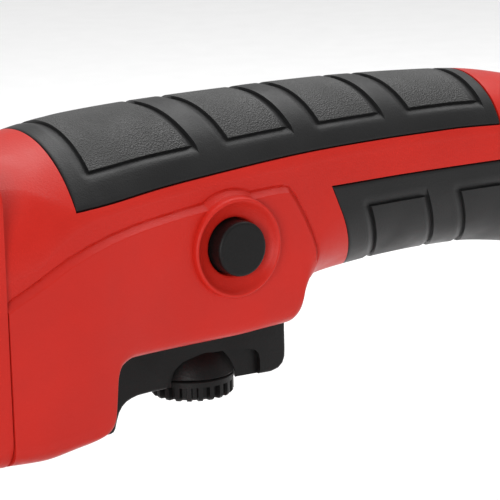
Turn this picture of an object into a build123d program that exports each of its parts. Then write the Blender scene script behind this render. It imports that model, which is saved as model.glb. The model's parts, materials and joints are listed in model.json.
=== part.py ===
"""Corded twin-blade rescue saw: two counter-rotating blades, in-line motor, swan-neck handle.

Frame, millimetres: +X runs rearwards along the motor, +Z is up, and the blades are on the +Y side.
The origin is the mouth of the lower auxiliary-handle socket, on the socket's axis.
"""

import os
from math import atan2, cos, hypot, pi, radians, sin

from build123d import *

os.makedirs("parts", exist_ok=True)

# ---- overall layout -------------------------------------------------------------------------
axis_z = 32.0  # motor axis above the lower socket's mouth
spindle_x = -30.0  # blade axis
motor_front = 38.0  # joint between gear head and motor housing
motor_length = 115.0
seam_x = motor_front + motor_length  # joint between motor housing and handle
running_fit = 0.06  # radial clearance of a shaft in its hole
moving_gap = 0.4  # clearance between bodies that pass each other

# ---- motor and handle sections --------------------------------------------------------------
body_width = 57.0
body_height = 63.0
body_corner = 7.0
body_rise = 0.5  # section centre above the motor axis
wall = 2.8
pad_thickness = 1.9

# Handle stations behind the seam: x, centre z, height, width, corner radius, nose-down lean.
stations = [
    (0, body_rise, body_height, body_width, body_corner, 0),
    (24, 5.4, 64.8, 52, 10, 0),
    (50, 9.8, 59.6, 43.6, 12, 0),
    (76, 14.2, 51.2, 39.6, 15, 0),
    (98, 16.6, 46.0, 37, 17, 0),
    (124, 16.8, 43.6, 36, 16.5, 2),
    (150, 14.6, 42.0, 36, 16.5, 11),
    (170, 8.5, 40.0, 35, 16.0, 26),
    (186, -1.5, 38.0, 34, 15.0, 40),
]

# ---- trigger bay, all relative to the seam and the motor axis ---------------------------------
bay_front = 28.7
bay_rear = 77.0
bay_roof = -12.1
bay_rear_slope = 82.0
trigger_thickness = 13.0
trigger_front = 30.2
trigger_rear = 82.8
trigger_bottom = -26.5
trigger_top = -6.0
tail_tip = -34.1
slot_side_gap = 0.5

dial_x = 60.8
dial_radius = 9.6
dial_top = -25.4
dial_bottom = -30.1
dial_teeth = 24
dial_shaft = 2.0

button_x = 59.0
button_z = 8.0
button_radius = 6.1
button_face = 26.0  # distance of the button's face from the mid-plane
button_inner = 15.4  # distance of the button's inner end from the mid-plane
button_flange = 1.2
button_flange_depth = 1.5
ring_radius = 10.9
ring_crest = 24.0

# ---- drive ----------------------------------------------------------------------------------
module = 1.5
pinion_teeth = 11
gear_teeth = 27
pinion_pitch = module * pinion_teeth / 2
gear_pitch = module * gear_teeth / 2
tooth_face = 6.5
shaft_radius = 5.0
spindle_radius = 4.5
sleeve_radius = 7.5
neck_radius = 21.0
neck_end = 37.0
head_radius = 31.0
head_half_width = 26.0
chamber_radius = 22.5

blade_radius = 80.0
blade_thickness = 1.6
inner_blade_y = 42.0  # back face of the inner blade
blade_gap = 1.5
outer_blade_y = inner_blade_y + blade_thickness + blade_gap
guard_tip_gap = 6.0  # between the blades' teeth and the guard's rim
guard_radius = blade_radius + guard_tip_gap
guard_back_y = 35.0
guard_front_y = 54.0
guard_sheet = 1.5
collar_radius = 24.0
collar_y = 30.4

lock_y = -14.2  # spindle-lock pin, in front of the far gear's hub
lock_pin = 2.5
lock_hub_radius = 14.0
lock_button_radius = 6.1

socket_radius = 4.0
socket_depth = 12.0
side_socket_x = 12.0
side_socket_face = 31.0
handle_length = 105.0


def save(piece, name):
    """Label a finished piece and write its STEP file."""
    piece.part.label = name
    export_step(piece.part, f"parts/{name}.step")


def across(x):
    """Plane square to the motor axis; its local axes are Y and height above the motor axis."""
    return Plane(origin=(x, 0, axis_z), x_dir=(0, 1, 0), z_dir=(1, 0, 0))


def side(y, x=0):
    """Side view plane that faces -Y; local axes are X from x and height above the motor axis."""
    return Plane(origin=(x, y, axis_z), x_dir=(1, 0, 0), z_dir=(0, -1, 0))


def level(z, x=0):
    """Level plane at a height above the motor axis."""
    return Plane(origin=(x, 0, axis_z + z), x_dir=(1, 0, 0), z_dir=(0, 0, 1))


def about_spindle(y):
    """Plane square to the blade axis, facing +Y, centred on the axis."""
    return Plane(origin=(spindle_x, y, axis_z), x_dir=(1, 0, 0), z_dir=(0, 1, 0))


def lock_plane(z):
    """Level plane centred on the spindle-lock pin."""
    return Plane(origin=(spindle_x, lock_y, axis_z + z), x_dir=(1, 0, 0), z_dir=(0, 0, 1))


def disc(plane, radius, depth, bore=0.0, mode=Mode.ADD):
    """Round plate that stands on a plane, with an optional bore, in the part being built."""
    with BuildSketch(plane) as outline:
        Circle(radius)
        if bore:
            Circle(bore, mode=Mode.SUBTRACT)
    extrude(outline.sketch, amount=depth, mode=mode)


def block(low, high, x=0.0, mode=Mode.ADD):
    """Box between two corners, measured from x and the motor axis, in the part being built."""
    size = [high[i] - low[i] for i in range(3)]
    middle = [(high[i] + low[i]) / 2 for i in range(3)]
    with Locations((middle[0] + x, middle[1], middle[2] + axis_z)):
        Box(*size, mode=mode)


def bearing(name, plane, bore, outer, width):
    """Deep-groove ball bearing: two rings and a row of balls, each a separate solid."""
    ring = (outer - bore) * 0.3
    middle = (outer + bore) / 2
    ball = (outer - bore) * 0.19
    with BuildPart() as race:
        with BuildSketch(plane):
            Circle(outer)
            Circle(outer - ring, mode=Mode.SUBTRACT)
            Circle(bore + ring)
            Circle(bore, mode=Mode.SUBTRACT)
        extrude(amount=width)
        with Locations(plane.offset(width / 2)):
            with PolarLocations(middle, 8):
                Sphere(ball)
    save(race, name)


# ---- bevel gears ----------------------------------------------------------------------------
cone_length = hypot(pinion_pitch, gear_pitch)
apex = (spindle_x, 0, axis_z)
addendum = 0.75 * module
dedendum = 1.2 * module
root_depth = 1.2 * dedendum  # teeth are sunk into the cone so that they join it


def tooth(pitch_radius, distance, teeth):
    """One straight bevel tooth that tapers towards the apex, for a gear about its own +Z."""
    lean = atan2(pitch_radius, distance)
    along = Vector(sin(lean), 0, cos(lean))
    with BuildPart() as solid:
        for length in (cone_length, cone_length - tooth_face):
            scale = length / cone_length
            half = 0.2 * 2 * pi * pitch_radius / teeth * scale
            plane = Plane(origin=along * length, x_dir=(0, -1, 0), z_dir=along)
            with BuildSketch(plane):
                with BuildLine():
                    Polyline(
                        (-half * 1.25, -root_depth * scale),
                        (-half * 0.6, addendum * scale),
                        (half * 0.6, addendum * scale),
                        (half * 1.25, -root_depth * scale),
                        close=True,
                    )
                make_face()
        loft()
    return solid.part


def bevel_gear(pitch_radius, distance, teeth, bore, hub_radius, hub_depth):
    """Bevel gear about +Z with its apex at the origin and its hub behind the teeth."""
    lean = atan2(pitch_radius, distance)
    across_cone = Vector(cos(lean), 0, -sin(lean))
    along = Vector(sin(lean), 0, cos(lean))
    outer = along * cone_length - across_cone * dedendum
    inner_length = cone_length - tooth_face
    inner = along * inner_length - across_cone * dedendum * inner_length / cone_length
    back = outer.Z + 1.2
    one = tooth(pitch_radius, distance, teeth)
    all_teeth = [one.rotate(Axis.Z, 360 * number / teeth) for number in range(teeth)]
    with BuildPart() as solid:
        with BuildSketch(Plane.XZ):
            with BuildLine():
                Polyline(
                    (bore, inner.Z),
                    (inner.X, inner.Z),
                    (outer.X, outer.Z),
                    (outer.X, back),
                    (hub_radius, back),
                    (hub_radius, back + hub_depth),
                    (bore, back + hub_depth),
                    close=True,
                )
            make_face()
        revolve(axis=Axis.Z)
        add(all_teeth)
    return solid.part


def place_gear(solid, towards, turn):
    """Stand a gear's own +Z along a direction from the apex, after a turn about that axis."""
    x_dir = (0, 0, 1)
    plane = Plane(origin=apex, x_dir=x_dir, z_dir=towards)
    return plane.location * Location((0, 0, 0), (0, 0, turn)) * solid


# ---- gear head ------------------------------------------------------------------------------
with BuildPart() as gear_head:
    with BuildSketch(side(head_half_width)):
        with Locations((spindle_x, 0)):
            Circle(head_radius)
        with Locations(((spindle_x + motor_front) / 2, 0)):
            Rectangle(motor_front - spindle_x, 2 * head_radius)
    extrude(amount=2 * head_half_width)
    fillet(gear_head.edges().filter_by(GeomType.LINE).filter_by(Axis.X), radius=9)
    with BuildSketch(across(motor_front - 8)):
        with Locations((0, body_rise)):
            RectangleRounded(body_width, body_height, body_corner)
    extrude(amount=8)
    disc(about_spindle(head_half_width - 1), neck_radius, neck_end - head_half_width + 1)
    disc(level(-axis_z), 9, 4)
    disc(level(head_radius - 3), 9, 4)
    disc(side(-side_socket_face + 6, side_socket_x), 8.5, 6)
    # spindle-lock boss on the roof
    disc(lock_plane(head_radius - 5), 8.5, 8)
    # gear chamber, tunnel for the pinion shaft, bearing seats
    disc(about_spindle(-head_half_width), chamber_radius, head_half_width + 16, mode=Mode.SUBTRACT)
    disc(about_spindle(16), 13, 2, mode=Mode.SUBTRACT)
    disc(about_spindle(17), 16, 21, mode=Mode.SUBTRACT)
    disc(across(spindle_x), 10.5, motor_front - spindle_x, mode=Mode.SUBTRACT)
    disc(across(2), 13, motor_front - 2, mode=Mode.SUBTRACT)
    disc(across(20), 25, motor_front - 20, mode=Mode.SUBTRACT)
    # three handle sockets
    disc(level(-axis_z), socket_radius, socket_depth, mode=Mode.SUBTRACT)
    disc(level(head_radius + 1 - socket_depth), socket_radius, socket_depth, mode=Mode.SUBTRACT)
    side_mouth = side(-side_socket_face + socket_depth, side_socket_x)
    disc(side_mouth, socket_radius, socket_depth, mode=Mode.SUBTRACT)
    # well for the spindle-lock button and its pin
    disc(lock_plane(0), lock_pin + running_fit, 40, mode=Mode.SUBTRACT)
    disc(lock_plane(27), lock_button_radius + moving_gap, 12, mode=Mode.SUBTRACT)
    # cover screw holes
    with Locations(about_spindle(-head_half_width)):
        with PolarLocations(25.3, 4, start_angle=45):
            Cylinder(1.5, 24, mode=Mode.SUBTRACT)
    # exhaust slots beside the fan
    for height in (-14, -7, 0, 7, 14):
        block((24, -32, height - 1.6), (33, 32, height + 1.6), mode=Mode.SUBTRACT)
save(gear_head, "gear_head")

with BuildPart() as gear_head_cover:
    disc(about_spindle(-head_half_width - 4), 28, 4)
    disc(about_spindle(-head_half_width), chamber_radius - 0.05, 5)
    disc(about_spindle(-head_half_width - 1.5), 11, 10, mode=Mode.SUBTRACT)
    with Locations(about_spindle(-head_half_width - 2)):
        with PolarLocations(25.3, 4, start_angle=45):
            Cylinder(1.6, 6, mode=Mode.SUBTRACT)
    chamfer(gear_head_cover.faces().sort_by(Axis.Y)[0].outer_wire().edges(), length=0.8)
save(gear_head_cover, "gear_head_cover")

with BuildPart() as cover_screws:
    with Locations(about_spindle(-head_half_width - 4)):
        with PolarLocations(25.3, 4, start_angle=45):
            Cylinder(1.45, 14, align=(Align.CENTER, Align.CENTER, Align.MIN))
            with Locations((0, 0, -2)):
                Cylinder(2.6, 2, align=(Align.CENTER, Align.CENTER, Align.MIN))
                Cylinder(1.2, 1.2, align=(Align.CENTER, Align.CENTER, Align.MIN), mode=Mode.SUBTRACT)
save(cover_screws, "cover_screws")

bearing("spindle_end_bearing", about_spindle(-head_half_width - 1.5), 4, 11, 7)
bearing("sleeve_bearing", about_spindle(17), sleeve_radius + running_fit, 16, 9)
bearing("pinion_bearing", across(2), shaft_radius + running_fit, 13, 8)
bearing("armature_bearing", across(motor_front + 100), 4, 11, 7)

with BuildPart() as spindle_seal:
    disc(about_spindle(27), 15.9, 5, sleeve_radius + 0.3)
save(spindle_seal, "spindle_seal")

with BuildPart() as bearing_retainer:
    disc(across(10), 12.9, 2.5, shaft_radius + 1)
save(bearing_retainer, "bearing_retainer")

# ---- spindle lock ---------------------------------------------------------------------------
with BuildPart() as spindle_lock_button:
    disc(lock_plane(33), lock_button_radius, 6.5)
    fillet(spindle_lock_button.faces().sort_by(Axis.Z)[-1].edges(), radius=1)
    disc(lock_plane(33), 5.2, 3, mode=Mode.SUBTRACT)
    disc(lock_plane(lock_hub_radius + 0.6), lock_pin, 22)
save(spindle_lock_button, "spindle_lock_button")


def coil_spring(name, base, radius, wire, length, turns):
    """Open coil spring along a plane's normal."""
    path = base.location * Helix(pitch=length / turns, height=length, radius=radius)
    with BuildPart() as coil:
        with BuildSketch(Plane(origin=path @ 0, z_dir=path % 0)):
            Circle(wire / 2)
        sweep(path=path, is_frenet=True)
    save(coil, name)


coil_spring("spindle_lock_spring", lock_plane(27.5), 4.0, 0.8, 8.0, 4)

# ---- rotor ----------------------------------------------------------------------------------
pinion_solid = bevel_gear(pinion_pitch, gear_pitch, pinion_teeth, 3.0, 6.0, 1.5)
far_gear_solid = bevel_gear(gear_pitch, pinion_pitch, gear_teeth, spindle_radius, lock_hub_radius, 6.4)
near_gear_solid = bevel_gear(gear_pitch, pinion_pitch, gear_teeth, sleeve_radius, 12.0, 3.0)

# A pinion tooth points at the near gear, so a pinion gap faces the far gear.
with BuildPart() as bevel_pinion:
    add(place_gear(pinion_solid, (1, 0, 0), 270))
save(bevel_pinion, "bevel_pinion")

with BuildPart() as armature_shaft:
    with BuildSketch(across(spindle_x + gear_pitch - 8)):
        Circle(2.98)
    extrude(amount=20)
    with BuildSketch(across(spindle_x + gear_pitch + 5)):
        Circle(shaft_radius)
    extrude(amount=motor_front + 99.5 - (spindle_x + gear_pitch + 5))
    with BuildSketch(across(motor_front + 99.5)):
        Circle(4 - running_fit)
    extrude(amount=8)
save(armature_shaft, "armature_shaft")

core_front = motor_front + 26
core_length = 48
core_radius = 15.0
with BuildPart() as armature_core:
    disc(across(core_front), core_radius, core_length, shaft_radius)
    with Locations(across(core_front + core_length / 2)):
        with PolarLocations(core_radius - 2, 12):
            Box(4.4, 1.8, core_length + 1, mode=Mode.SUBTRACT)
save(armature_core, "armature_core")

with BuildPart() as armature_windings:
    for start in (core_front - 6, core_front + core_length):
        disc(across(start), core_radius - 1.5, 6, shaft_radius)
    with Locations(across(core_front + core_length / 2)):
        with PolarLocations(core_radius - 2.6, 12):
            Box(2.6, 1.5, core_length)
save(armature_windings, "armature_windings")

with BuildPart() as commutator:
    disc(across(motor_front + 82), 11, 13, shaft_radius)
    with Locations(across(motor_front + 88.5)):
        with PolarLocations(11, 24):
            Box(1.6, 0.5, 14, mode=Mode.SUBTRACT)
save(commutator, "commutator")

with BuildPart() as cooling_fan:
    disc(across(motor_front + 14), 23, 1.6, shaft_radius)
    disc(across(motor_front + 5), 8.5, 9.5, shaft_radius)
    with BuildSketch(across(motor_front + 5)):
        with PolarLocations(15.5, 14, start_angle=9):
            Rectangle(14.5, 1.2, rotation=14)
    extrude(amount=9.5)
save(cooling_fan, "cooling_fan")

# ---- twin spindles --------------------------------------------------------------------------
with BuildPart() as far_bevel_gear:
    add(place_gear(far_gear_solid, (0, -1, 0), -90))
    # radial holes that the spindle lock drops into
    with Locations(about_spindle(lock_y)):
        with PolarLocations(lock_hub_radius, 4):
            Cylinder(lock_pin + 0.4, 10, rotation=(0, 90, 0), mode=Mode.SUBTRACT)
save(far_bevel_gear, "far_bevel_gear")

with BuildPart() as near_bevel_gear:
    add(place_gear(near_gear_solid, (0, 1, 0), 90 + 180 / gear_teeth))
save(near_bevel_gear, "near_bevel_gear")

with BuildPart() as inner_spindle:
    with BuildSketch(about_spindle(-17)):
        Circle(spindle_radius)
    extrude(amount=17 + outer_blade_y)
    with BuildSketch(about_spindle(-head_half_width - 1)):
        Circle(4 - running_fit)
    extrude(amount=head_half_width + 1 - 17)
    with BuildSketch(about_spindle(outer_blade_y - 1.0)):
        Circle(9.5)
    extrude(amount=1.0)
    with BuildSketch(about_spindle(outer_blade_y)):
        Circle(6)
    extrude(amount=blade_thickness)
    with BuildSketch(about_spindle(outer_blade_y + blade_thickness)):
        Circle(3)
    extrude(amount=-18, mode=Mode.SUBTRACT)
save(inner_spindle, "inner_spindle")

with BuildPart() as sleeve_spindle:
    with BuildSketch(about_spindle(2.5)):
        Circle(sleeve_radius)
    extrude(amount=inner_blade_y - 2.5)
    with BuildSketch(about_spindle(inner_blade_y - 3)):
        Circle(20)
    extrude(amount=3)
    with BuildSketch(about_spindle(inner_blade_y)):
        Circle(10)
    extrude(amount=blade_thickness)
    with BuildSketch(about_spindle(0)):
        Circle(spindle_radius + running_fit)
    extrude(amount=60, mode=Mode.SUBTRACT)
    with Locations(about_spindle(inner_blade_y)):
        with PolarLocations(15, 3):
            Cylinder(1.6, 8, mode=Mode.SUBTRACT)
save(sleeve_spindle, "sleeve_spindle")


def blade(name, back, bore, screw_holes):
    """Steel cutting disc with gullets between its teeth."""
    teeth = 48
    with BuildPart() as plate:
        with BuildSketch(about_spindle(back)):
            Circle(blade_radius - 5)
            with PolarLocations(blade_radius - 4, teeth):
                Rectangle(8, 6.4)
            Circle(bore, mode=Mode.SUBTRACT)
            with PolarLocations(blade_radius * 0.58, 6, start_angle=15):
                SlotOverall(20, 5, rotation=55, mode=Mode.SUBTRACT)
            if screw_holes:
                with PolarLocations(15, 3):
                    Circle(1.8, mode=Mode.SUBTRACT)
        extrude(amount=blade_thickness)
    save(plate, name)


blade("inner_blade", inner_blade_y, 10.02, True)
blade("outer_blade", outer_blade_y, 6.02, False)

with BuildPart() as inner_blade_screws:
    with Locations(about_spindle(inner_blade_y + blade_thickness)):
        with PolarLocations(15, 3):
            Cylinder(1.55, 4.4, align=(Align.CENTER, Align.CENTER, Align.MAX))
            Cylinder(2.7, 0.6, align=(Align.CENTER, Align.CENTER, Align.MIN))
save(inner_blade_screws, "inner_blade_screws")

clamp_y = outer_blade_y + blade_thickness
with BuildPart() as clamp_flange:
    with BuildSketch(about_spindle(clamp_y)):
        Circle(19)
        Circle(3.2, mode=Mode.SUBTRACT)
    extrude(amount=3)
    chamfer(clamp_flange.faces().sort_by(Axis.Y)[-1].outer_wire().edges(), length=1.2)
save(clamp_flange, "clamp_flange")

with BuildPart() as blade_bolt:
    with BuildSketch(about_spindle(clamp_y + 3)):
        RegularPolygon(radius=6.9, side_count=6)
    extrude(amount=5)
    with BuildSketch(about_spindle(clamp_y - 14)):
        Circle(2.95)
    extrude(amount=17)
    with BuildSketch(about_spindle(clamp_y + 8)):
        Circle(3.4)
    extrude(amount=-2.5, mode=Mode.SUBTRACT)
save(blade_bolt, "blade_bolt")

# ---- guard ----------------------------------------------------------------------------------
guard_start = -35
guard_sweep = 180


def sector(radius, inner, start, sweep_angle):
    """Ring sector face about a plane's centre; angles run from +X towards +Z."""
    points = [start, start + sweep_angle / 2, start + sweep_angle]

    def at(r, angle):
        return (r * cos(radians(angle)), r * sin(radians(angle)))

    with BuildLine() as outline:
        ThreePointArc(*[at(radius, angle) for angle in points])
        Line(at(radius, points[2]), at(inner, points[2]))
        ThreePointArc(*[at(inner, angle) for angle in reversed(points)])
        Line(at(inner, points[0]), at(radius, points[0]))
    make_face(outline.edges())


def guard_plane(y):
    """Side plane about the blade axis, facing -Y, so that angles run from +X towards +Z."""
    return Plane(origin=(spindle_x, y, axis_z), x_dir=(1, 0, 0), z_dir=(0, -1, 0))


with BuildPart() as blade_guard:
    with BuildSketch(guard_plane(guard_back_y + guard_sheet)):
        sector(guard_radius, collar_radius, guard_start, guard_sweep)
    extrude(amount=guard_sheet)
    with BuildSketch(guard_plane(guard_front_y)):
        sector(guard_radius, guard_radius - guard_sheet, guard_start, guard_sweep)
    extrude(amount=guard_front_y - guard_back_y)
    with BuildSketch(guard_plane(guard_front_y)):
        sector(guard_radius, guard_radius - 8, guard_start, guard_sweep)
    extrude(amount=guard_sheet)
    fillet(
        blade_guard.edges().filter_by(GeomType.CIRCLE).filter_by(
            lambda edge: abs(edge.radius - guard_radius) < 0.01
        ),
        radius=1.2,
    )
save(blade_guard, "blade_guard")

clamp_z = 29.0  # clamp bolt above the blade axis
lever_x = 14.3  # lever pivot behind the blade axis
lever_y = 32.5
eye_half = 0.7
lever_pin_radius = 1.5
with BuildPart() as guard_collar:
    with BuildSketch(guard_plane(guard_back_y + guard_sheet)):
        Circle(collar_radius)
        Circle(neck_radius + running_fit, mode=Mode.SUBTRACT)
    extrude(amount=guard_back_y + guard_sheet - collar_y)
    with BuildSketch(guard_plane(guard_back_y - 0.1)):
        with Locations((-3.2, 27.5)):
            Rectangle(5.5, 11)
        with Locations((6.7, 27.5)):
            Rectangle(5, 11)
        Circle(neck_radius + 2, mode=Mode.SUBTRACT)
    extrude(amount=guard_back_y - 0.1 - collar_y)
    with BuildSketch(guard_plane(guard_back_y)):
        with Locations((1.75, 22.5)):
            Rectangle(1.4, 5)
    extrude(amount=guard_back_y - collar_y, mode=Mode.SUBTRACT)
    with Locations(Location((spindle_x, lever_y, axis_z + clamp_z), (0, 90, 0))):
        Cylinder(1.75, 30, mode=Mode.SUBTRACT)
save(guard_collar, "guard_collar")

with BuildPart() as guard_clamp_bolt:
    with BuildSketch(Plane(origin=(spindle_x - 9, lever_y, axis_z + clamp_z), z_dir=(1, 0, 0))):
        Circle(1.6)
    extrude(amount=18.3)
    with BuildSketch(Plane(origin=(spindle_x - 8.5, lever_y, axis_z + clamp_z), z_dir=(1, 0, 0))):
        RegularPolygon(radius=2.4, side_count=6)
    extrude(amount=2.5)
    with BuildSketch(guard_plane(lever_y + eye_half)):
        with Locations(((8.5 + lever_x) / 2, clamp_z)):
            Rectangle(lever_x - 8.5, 3)
        with Locations((lever_x, clamp_z)):
            Circle(3.4)
            Circle(lever_pin_radius, mode=Mode.SUBTRACT)
    extrude(amount=2 * eye_half)
save(guard_clamp_bolt, "guard_clamp_bolt")

with BuildPart() as guard_lever_pin:
    with BuildSketch(guard_plane(lever_y + 2.1)):
        with Locations((lever_x, clamp_z)):
            Circle(lever_pin_radius)
    extrude(amount=4.2)
save(guard_lever_pin, "guard_lever_pin")

with BuildPart() as guard_lever:
    with BuildSketch(guard_plane(lever_y + 2.1)):
        with Locations((lever_x, clamp_z)):
            Circle(4.4)
        with BuildLine():
            Polyline(
                (lever_x + 1, clamp_z + 4.2),
                (lever_x + 17, clamp_z - 4),
                (lever_x + 31, clamp_z - 17),
                (lever_x + 27, clamp_z - 22),
                (lever_x + 12, clamp_z - 11),
                (lever_x - 2, clamp_z - 4),
                close=True,
            )
        make_face()
        with Locations((lever_x, clamp_z)):
            Circle(lever_pin_radius + running_fit, mode=Mode.SUBTRACT)
    extrude(amount=4.2)
    with BuildSketch(guard_plane(lever_y + 0.9)):
        with Locations((lever_x, clamp_z)):
            Circle(6.2)
    extrude(amount=1.8, mode=Mode.SUBTRACT)
save(guard_lever, "guard_lever")

# ---- motor housing --------------------------------------------------------------------------
brush_x = motor_front + 88.5
cap_radius = 7.0
with BuildPart() as motor_housing:
    with BuildSketch(across(motor_front)):
        with Locations((0, body_rise)):
            RectangleRounded(body_width, body_height, body_corner)
    extrude(amount=motor_length)
    with BuildSketch(across(motor_front)):
        with Locations((0, body_rise)):
            RectangleRounded(body_width - 2 * 2.2, body_height - 2 * wall, body_corner - 2.2)
    extrude(amount=motor_length, mode=Mode.SUBTRACT)
    # rear bulkhead that carries the armature bearing
    with BuildSketch(across(motor_front + 99)):
        with Locations((0, body_rise)):
            RectangleRounded(body_width - 2, body_height - 2, body_corner - 1)
    extrude(amount=8)
    disc(across(motor_front + 99), 5.5, 10, mode=Mode.SUBTRACT)
    disc(across(motor_front + 99.6), 11, 10, mode=Mode.SUBTRACT)
    with Locations(across(motor_front + 103)):
        with PolarLocations(20, 6):
            Cylinder(4, 10, mode=Mode.SUBTRACT)
    # brush-cap holes
    with Locations(Location((brush_x, 0, axis_z), (90, 0, 0))):
        Cylinder(cap_radius, 70, mode=Mode.SUBTRACT)
    # cooling slots on both sides, in two banks
    for height in range(-18, 24, 6):
        block((10, -40, height - 1.3), (24, 40, height + 1.3), motor_front, mode=Mode.SUBTRACT)
        block((58, -40, height - 1.3), (74, 40, height + 1.3), motor_front, mode=Mode.SUBTRACT)
save(motor_housing, "motor_housing")

with BuildPart() as stator_core:
    with BuildSketch(across(core_front - 1)):
        Circle(26)
        Circle(22, mode=Mode.SUBTRACT)
        sector(23, core_radius + 0.7, 40, 100)
        sector(23, core_radius + 0.7, 220, 100)
    extrude(amount=core_length + 2)
save(stator_core, "stator_core")

with BuildPart() as field_coils:
    with BuildSketch(across(core_front - 7)):
        sector(21.8, core_radius + 1.4, -36, 72)
        sector(21.8, core_radius + 1.4, 144, 72)
    extrude(amount=core_length + 14)
save(field_coils, "field_coils")

with BuildPart() as fan_baffle:
    with BuildSketch(across(motor_front + 17)):
        with Locations((0, body_rise)):
            RectangleRounded(body_width - 4.6, body_height - 5.8, body_corner - 2.4)
        Circle(14.5, mode=Mode.SUBTRACT)
    extrude(amount=1.6)
save(fan_baffle, "fan_baffle")

brush_turn = Location((brush_x, 0, axis_z), (90, 0, 0))
with BuildPart() as brush_holders:
    with Locations(brush_turn):
        for way in (1, -1):
            with Locations((0, 0, way * 19.5)):
                Box(9.5, 11.5, 13)
                Box(7, 9, 14, mode=Mode.SUBTRACT)
save(brush_holders, "brush_holders")

with BuildPart() as carbon_brushes:
    with Locations(brush_turn):
        for way in (1, -1):
            with Locations((0, 0, way * 16.3)):
                Box(6.9, 8.9, 10)
save(carbon_brushes, "carbon_brushes")

with BuildPart() as brush_caps:
    with Locations(brush_turn):
        for way in (1, -1):
            with Locations((0, 0, way * (body_width / 2 - 0.8))):
                Cylinder(cap_radius - 0.1, 3)
            with Locations((0, 0, way * (body_width / 2 + 0.4))):
                Box(10, 1.4, 1.2, mode=Mode.SUBTRACT)
save(brush_caps, "brush_caps")

# ---- handle shells --------------------------------------------------------------------------


def station_plane(number, pull=0.0):
    """Plane of one handle station, pulled forwards along its own normal."""
    x, centre, _, _, _, lean = stations[number]
    normal = Vector(cos(radians(lean)), 0, -sin(radians(lean)))
    origin = Vector(seam_x + x, 0, axis_z + centre) - normal * pull
    return Plane(origin=origin, x_dir=(0, 1, 0), z_dir=normal)


def handle_loft(shrink, end_wall=0.0):
    """Swan-neck solid through the stations, each section brought in by shrink."""
    last = len(stations) - 1
    with BuildPart() as solid:
        for number, (_, _, height, width, corner, _) in enumerate(stations):
            with BuildSketch(station_plane(number, end_wall if number == last else 0.0)):
                RectangleRounded(width - 2 * shrink, height - 2 * shrink, corner - shrink)
        loft()
    return solid.part


def bay_prism(grow):
    """Clearance under the body that holds the trigger, grown by a wall thickness."""
    front = bay_front - grow
    roof = bay_roof + grow
    with BuildPart() as solid:
        with BuildSketch(side(45, seam_x)):
            with BuildLine():
                Polyline(
                    (front, -70),
                    (front, roof - 6),
                    (front + 6, roof),
                    (bay_rear + grow * 0.4, roof),
                    (bay_rear_slope + grow, roof + 4.4),
                    (bay_rear_slope + grow + 4, -70),
                    close=True,
                )
            make_face()
        extrude(amount=90)
    return solid.part


def side_prism(points, low_y=-45, high_y=45):
    """Straight prism across the handle over an outline given from the seam and the motor axis."""
    with BuildPart() as solid:
        with BuildSketch(side(high_y, seam_x)):
            with BuildLine():
                Polyline(*points, close=True)
            make_face()
        extrude(amount=high_y - low_y)
    return solid.part


top_pad_region = side_prism(
    [(17, 60), (17, 22.6), (30, 22.9), (60, 25.2), (95, 26.6), (125, 26.6), (137, 25.8), (137, 60)]
)
lower_pad_region = side_prism(
    [(100.5, -40), (93.5, 5), (87.2, 17.3), (125, 17.6), (150, 15.0), (172, 4.0), (165, -30)]
)

outer_body = handle_loft(0.0)
under_pads = handle_loft(pad_thickness)
cavity = handle_loft(wall + pad_thickness, end_wall=5.0) - bay_prism(wall)
skin_layer = outer_body - under_pads

screw_places = [(9, -22), (12, 17), (92, 10), (128, 10), (166, 4)]
screw_bosses = []
for place in screw_places:
    with BuildPart() as boss:
        with BuildSketch(side(40, seam_x)):
            with Locations(place):
                Circle(4.6)
        extrude(amount=80)
    screw_bosses.append(boss.part)
for boss_solid in screw_bosses:
    cavity = cavity - boss_solid

panel_points = [
    (0, 3),
    (6, 5.7),
    (16, 10.7),
    (26, 14),
    (45, 16.3),
    (75, 17.9),
    (81.5, 0.4),
    (77, -12.1),
    (60, -60),
    (0, -60),
]
side_panel = handle_loft(-0.9) & side_prism(panel_points)

body_solid = outer_body + side_panel
body_solid = body_solid - bay_prism(0.0)
body_solid = body_solid - (skin_layer & top_pad_region) - (skin_layer & lower_pad_region)
body_solid = body_solid - cavity

with BuildPart() as handle_body:
    add(body_solid)
    # trigger slot through the bay's roof, front wall and rear wall
    slot_side = trigger_thickness / 2 + slot_side_gap
    slot_low = (trigger_front - moving_gap, -slot_side, -60)
    slot_high = (trigger_rear + moving_gap, slot_side, -4)
    block(slot_low, slot_high, seam_x, mode=Mode.SUBTRACT)
    # screw shanks
    for place in screw_places:
        with BuildSketch(side(40, seam_x)):
            with Locations(place):
                Circle(1.75)
        extrude(amount=80, mode=Mode.SUBTRACT)
    # cord inlet through the end wall
    with BuildSketch(station_plane(len(stations) - 1, 8)):
        Circle(7.05)
    extrude(amount=20, mode=Mode.SUBTRACT)

with BuildPart() as handle_shell_left:
    add(handle_body.part)
    split(bisect_by=Plane.XZ, keep=Keep.TOP)
    # collar round the lock-on button
    with BuildSketch(side(-17, seam_x + button_x)):
        with Locations((0, button_z)):
            Circle(ring_radius)
    extrude(amount=ring_crest - 17)
    with BuildSketch(side(-21.4, seam_x + button_x)):
        with Locations((0, button_z)):
            Circle(ring_radius - 2.2)
    extrude(amount=10, mode=Mode.SUBTRACT)
    with BuildSketch(side(-10, seam_x + button_x)):
        with Locations((0, button_z)):
            Circle(button_radius + moving_gap)
    extrude(amount=30, mode=Mode.SUBTRACT)
    # room for the button's flange behind the collar
    with BuildSketch(side(-10, seam_x + button_x)):
        with Locations((0, button_z)):
            Circle(button_radius + button_flange + moving_gap)
    extrude(amount=button_inner + button_flange_depth + moving_gap - 10, mode=Mode.SUBTRACT)
save(handle_shell_left, "handle_shell_left")

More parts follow.
